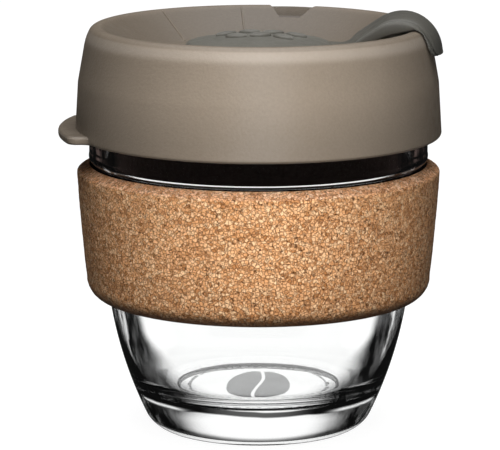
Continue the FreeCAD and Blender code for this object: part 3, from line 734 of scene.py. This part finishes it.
def plug_rows():
    """Closed sections of the one-piece plug, from the hub's far side out to the arm's tip."""
    hub = -17.78 * np.cos(np.linspace(0.02, math.pi * 0.86, 84))
    top, under = spaced(ARM_TOP), spaced(ARM_UNDER)
    bridge = np.arange(hub[-1] + 0.25, 19.0, 0.25)
    s = np.concatenate([hub, bridge])
    top = np.vstack([np.column_stack([s, np.interp(s, [0, 17, 19.2], [93.3, 93.3, 93.35])]), top])
    under = np.vstack([np.column_stack([s, np.interp(s, [16.0, 19.2], [91.35, 91.45])]), under])
    travelled = np.concatenate([s, 19.2 + np.concatenate(
        [[0], np.cumsum(np.linalg.norm(np.diff(top[len(s):], axis=0), axis=1))])])
    end = travelled[-1]
    circle = np.sqrt(np.maximum(17.8 ** 2 - np.minimum(travelled, 17.8) ** 2, 0))
    half = np.where(travelled < 5, circle, np.logaddexp(circle * 2.2, HALF_WIDTH * 2.2) / 2.2)
    left = np.clip(2.6 - (end - travelled), 0, 2.6)
    half = np.minimum(half, 17.8) - (2.6 - np.sqrt(2.6 ** 2 - left ** 2))
    across = np.sin(np.linspace(-math.pi / 2, math.pi / 2, 61) * 0.96) / math.sin(math.pi / 2 * 0.96)
    rows = []
    for here, t, u, w in zip(travelled, top, under, half):
        w = max(w, 0.05)
        y = across * w
        is_arm = float(ramp(here, 14.5, 21.0))
        hub_z = dome(np.hypot(min(here, 17.8), y))
        level = (1 - is_arm) * hub_z + is_arm * (t[1] - crown(y, w) * float(ramp(here, 15.0, 23.0)))
        drop = np.maximum(t[1] - level, -10.0)
        thick = np.linalg.norm(t - u)
        if here <= 19.0:
            upper = np.column_stack([np.full(len(y), here), y, level])
            floor_z = u[1]
        else:
            share = np.minimum(drop / thick, 0.92)
            upper = np.column_stack([t[0] + (u[0] - t[0]) * share, y, t[1] + (u[1] - t[1]) * share])
            floor_z = None
        low_y = np.concatenate([[w - 0.02, w - 0.15], np.linspace(w - 0.5, -w + 0.5, 9),
                                [-w + 0.15, -w + 0.02]])
        low_y = np.clip(low_y, -w, w)
        lift = np.array([0.45, 0.15] + [0.0] * 9 + [0.15, 0.45])
        if floor_z is not None:
            lower = np.column_stack([np.full(13, here), low_y, floor_z + lift])
        else:
            towards = (t - u) / thick
            lower = np.column_stack([u[0] + towards[0] * lift, low_y, u[1] + towards[1] * lift])
        row = np.vstack([upper[::-1], lower[::-1]])
        bent = np.sqrt(np.maximum(row[:, 0] ** 2 - row[:, 1] ** 2, 0.01))
        bending = float(ramp(here, 19.5, 27.0))
        row[:, 0] = (1 - bending) * row[:, 0] + bending * bent
        rows.append(row)
    return rows


def plug():
    """The plug as one skin, closed by a slightly smaller copy of its last section."""
    rows = plug_rows()
    centre = rows[-1].mean(0)
    rows.append(centre + (rows[-1] - centre) * 0.9)
    return rings("plug", rows, PLUG, smooth_angle=60.0)


def stem():
    points = outline([(0, STEM_TIP), (3.3, STEM_TIP), (5.0, 88.4), (5.0, 89.0), (4.0, 89.0), (4.0, 91.6),
                      (0, 91.6)], closed=False, radius=0.25)
    return lathe("plug_stem", points, 64, PLUG)


def stopper():
    """The pad under the arm, with a face parallel to the well's slope."""
    rows = []
    for inset, height in ((2.4, 0.06), (0.6, 0.0), (0.2, 0.12), (0.0, 0.5), (0.0, 1.5), (0.0, 3.4)):
        ring = stadium(32.8, 0, 0, 6.6 - 2 * inset, 13.4 - 2 * inset)
        r = np.hypot(ring[:, 0], ring[:, 1])
        ring[:, 2] = 91.6 + (r - 29.2) * 0.7303 + height
        ring[:, 2] = np.minimum(ring[:, 2], 98.3)
        rows.append(ring)
    return rings("stopper_pad", rows, PLUG, smooth_angle=50.0)


def bean(name, x, y, degrees, length, width):
    """A raised coffee bean on the hub's dome, split by a curved groove."""
    rows = []
    lean = math.radians(degrees)
    turn = np.arange(40) / 40 * 2 * math.pi
    for scale, lift in ((1.0, -0.25), (1.0, 0.2), (0.96, 0.45), (0.86, 0.62), (0.7, 0.72), (0.5, 0.76),
                        (0.3, 0.77), (0.12, 0.77)):
        u = length / 2 * scale * np.cos(turn)
        v = width / 2 * scale * np.sin(turn)
        seam = np.exp(-((v - 0.28 * np.sin(u / length * 5.5)) / 0.26) ** 2)
        px = x + u * math.cos(lean) - v * math.sin(lean)
        py = y + u * math.sin(lean) + v * math.cos(lean)
        rise = lift - 0.6 * seam * (lift > 0.3)
        rows.append(np.column_stack([px, py, dome(np.hypot(px, py)) + rise]))
    return rings(name, rows, PLUG, smooth_angle=50.0)


def emblem():
    places = [(-8.0, 2.6, 35), (-2.4, 4.0, -12), (3.4, 3.4, 28), (9.0, 2.0, -22),
              (-5.2, -2.8, -18), (0.6, -1.8, 24), (6.2, -3.0, -30)]
    return [bean(f"bean_{i}", x, y, turn, 5.4, 3.6) for i, (x, y, turn) in enumerate(places)]


# ---------------------------------------------------------------- print under the base

def flat_piece(name, plan, low, high, material):
    """A thin plate from a plan outline."""
    plan = np.asarray(plan, float)
    return rings(name, [np.column_stack([plan, np.full(len(plan), z)]) for z in (low, high)],
                 material, smooth_angle=20.0)


def base_print():
    """A fine ring, a ring of short marks and a bean, fired on under the foot's recess."""
    low, high = 1.84, 1.97
    pieces = []
    ring = outline([(20.2, low), (20.35, low), (20.35, high), (20.2, high)], radius=0.02)
    pieces.append(lathe("base_ring", ring, 160, INK, smooth_angle=20.0))
    random = np.random.default_rng(3)
    angle = 0.0
    while angle < 355:
        span = random.uniform(2.2, 6.5)
        a = np.radians(np.linspace(angle, angle + span, 6))
        inner, outer = 17.0, 17.0 + random.choice([0.55, 0.8, 1.05])
        plan = [(inner * math.cos(t), inner * math.sin(t)) for t in a[::-1]]
        plan += [(outer * math.cos(t), outer * math.sin(t)) for t in a]
        pieces.append(flat_piece(f"base_mark_{len(pieces)}", plan[::-1], low, high, INK))
        angle += span + random.choice([1.6, 1.9, 4.5])
    for side in (1, -1):
        v = np.linspace(-0.96, 0.96, 28)
        seam = 0.85 * np.sin(v * 3.0)
        rim = 7.9 * np.sqrt(1 - (v * 0.985) ** 2)
        edge = np.column_stack([side * np.maximum(rim, np.abs(seam) + 0.7), v * 13.0 - 0.6])
        inside = np.column_stack([seam + side * 0.45, v * 13.0 - 0.6])[::-1]
        plan = np.vstack([edge, inside]) if side > 0 else np.vstack([edge, inside])[::-1]
        pieces.append(flat_piece(f"base_bean_{'right' if side > 0 else 'left'}", plan, low, high, INK))
    return pieces


# ---------------------------------------------------------------- assembly

def join(pieces):
    """One object from several pieces that share a material."""
    for item in bpy.context.selected_objects:
        item.select_set(False)
    for item in pieces:
        item.select_set(True)
    bpy.context.view_layer.objects.active = pieces[0]
    bpy.ops.object.join()
    return pieces[0]


GLASS_PIECE = glass_cup()
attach(GLASS_PIECE, "cup")
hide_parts("glass_cup")

for item in base_print():
    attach(item, "cup")

BAND_PIECE = cork_band()
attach(BAND_PIECE, "band")
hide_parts("cork_band")

LID_PIECE = join(lid())
LID_PIECE.name = "lid_moulding"
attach(LID_PIECE, "cover")
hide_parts("lid")

PLUG_PIECE = plug()
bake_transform(PLUG_PIECE)
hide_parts("plug_hub", "plug_web", "plug_arm")

for item in [stem()] + emblem():
    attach(item, "plug")

PAD = stopper()
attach(PAD, "arm")
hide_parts("plug_stopper")


# ---------------------------------------------------------------- stage, light and camera

FLOOR_SIZE = 12.0
bpy.ops.mesh.primitive_plane_add(size=FLOOR_SIZE, location=(0, 0, 0))
FLOOR = bpy.context.object
FLOOR.data.materials.append(floor_material())


# Brightness by direction: from a height of the ray (1 is straight up) to another, and the level
# below and above.
LIGHT_THROWN = (0.84, 0.97, 0.02, 4.8)
MIRRORED = (0.55, 0.9, 0.02, 1.08)
SEEN_THROUGH_GLASS = (0.3, 0.5, 1.12, 0.1)


def world():
    """A bright ceiling and dim walls, as soft boxes above and dark panels around give."""
    studio = bpy.data.worlds.new("studio")
    studio.use_nodes = True
    tree = studio.node_tree
    tree.nodes.clear()
    add, link = tree.nodes.new, tree.links.new
    up = add("ShaderNodeSeparateXYZ")
    link(add("ShaderNodeTexCoord").outputs["Generated"], up.inputs[0])
    ray = add("ShaderNodeLightPath")

    def by_height(levels):
        node = add("ShaderNodeMapRange")
        node.interpolation_type = "SMOOTHSTEP"
        link(up.outputs["Z"], node.inputs["Value"])
        for index, value in enumerate(levels, 1):
            node.inputs[index].default_value = value
        return node.outputs[0]

    def choose(kind, otherwise, then):
        node = add("ShaderNodeMix")
        link(ray.outputs[kind], node.inputs[0])
        link(otherwise, node.inputs[2])
        if isinstance(then, float):
            node.inputs[3].default_value = then
        else:
            link(then, node.inputs[3])
        return node.outputs[0]

    level = choose("Is Glossy Ray", by_height(LIGHT_THROWN), by_height(MIRRORED))
    level = choose("Is Transmission Ray", level, by_height(SEEN_THROUGH_GLASS))
    level = choose("Is Camera Ray", level, 1.0)
    back = add("ShaderNodeBackground")
    back.inputs["Color"].default_value = (1, 1, 1, 1)
    link(level, back.inputs["Strength"])
    link(back.outputs[0], add("ShaderNodeOutputWorld").inputs["Surface"])
    bpy.context.scene.world = studio


def soft_box(name, place, target, width, height, power, mirrored=False):
    """A rectangular soft light that faces a point. It shows in reflections only if mirrored."""
    lamp = bpy.data.lights.new(name, "AREA")
    lamp.shape, lamp.size, lamp.size_y, lamp.energy = "RECTANGLE", width, height, power
    item = bpy.data.objects.new(name, lamp)
    item.location = place
    item.rotation_euler = (Vector(target) - Vector(place)).to_track_quat("-Z", "Y").to_euler()
    item.visible_camera = item.visible_transmission = False
    item.visible_glossy = mirrored
    bpy.context.scene.collection.objects.link(item)


world()

# The camera and the lights stand in front, this far round from -Y towards +X.
TURN = math.radians(4.0)
FRONT = np.array([math.sin(TURN), -math.cos(TURN)])
KEY_TURN = TURN + 0.05
CLOSE, MIDDLE = 0.14, 0.068
soft_box("key", (math.sin(KEY_TURN) * CLOSE, -math.cos(KEY_TURN) * CLOSE, MIDDLE), (0, 0, MIDDLE),
         0.05, 0.2, 0.225)
soft_box("crest_light", (*FRONT * 0.6, 0.64), (0, 0, 0.09), 0.6, 0.08, 0.8, mirrored=True)
soft_box("back_fill", (*FRONT * -CLOSE, MIDDLE), (0, 0, MIDDLE), 0.05, 0.2, 0.17)

# Fitted to the photograph's perspective and framing.
LENS, DISTANCE, CAMERA_HEIGHT = 236.9, 0.785, 0.2011
TILT, PAN = 10.97, 0.148
camera = bpy.data.objects.new("camera", bpy.data.cameras.new("camera"))
camera.data.lens = LENS
camera.data.sensor_width = 36.0
camera.data.clip_start, camera.data.clip_end = 0.05, 20.0
camera.location = (DISTANCE * math.sin(TURN), -DISTANCE * math.cos(TURN), CAMERA_HEIGHT)
camera.rotation_euler = (math.radians(90 - TILT), 0, TURN + math.radians(PAN))
bpy.context.scene.collection.objects.link(camera)
bpy.context.scene.camera = camera
bpy.context.scene.view_settings.view_transform = "Standard"
